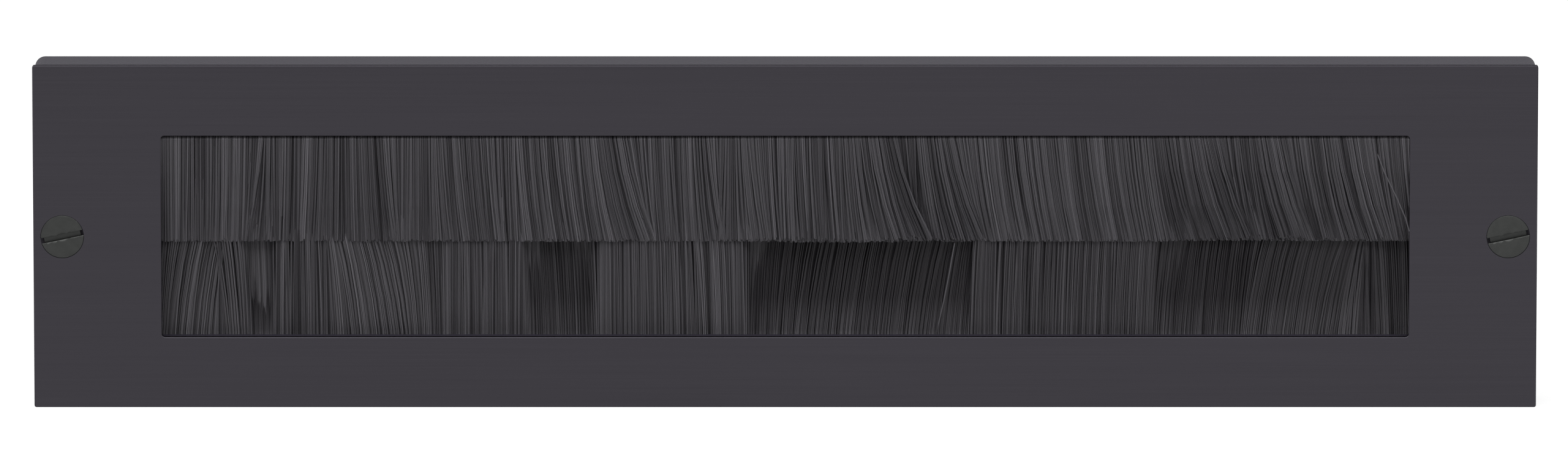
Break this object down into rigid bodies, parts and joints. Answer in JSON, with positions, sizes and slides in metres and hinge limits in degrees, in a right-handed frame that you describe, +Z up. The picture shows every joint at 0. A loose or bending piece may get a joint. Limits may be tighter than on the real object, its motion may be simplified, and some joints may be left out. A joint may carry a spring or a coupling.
{
  "type": "letterbox draught excluder",
  "caption": "Flat rectangular plate on a moulded frame, with a long letter opening closed by overlapping bristle strips that stop draughts and let post through, screwed to the inside of a door.",
  "frame": {"origin": "middle of the back plane that lies against the door, halfway between the two screws", "axes": "+X along the length, to the right seen from the room; +Y into the door, so the face looks along -Y; +Z up"},
  "size_m": [0.338, 0.038, 0.078],
  "materials": {
    "face_plate": "dark grey anodised, fine brushed satin",
    "backing_frame": "moulded ABS, dark grey, fine matt texture",
    "brush_channel": "galvanised strip, folded",
    "core_wire": "drawn wire",
    "bristles": "drawn polypropylene filament, charcoal",
    "fixing_screws": "turned steel, dark oxide"
  },
  "bodies": {
    "root": {"face_plate": "face_plate", "backing_frame": "backing_frame", "upper_brush_channel": "brush_channel", "upper_core_wire": "core_wire", "upper_bristles": "bristles", "lower_brush_channel": "brush_channel", "lower_core_wire": "core_wire", "lower_bristles": "bristles", "fixing_screws": "fixing_screws"}
  },
  "joints": []
}
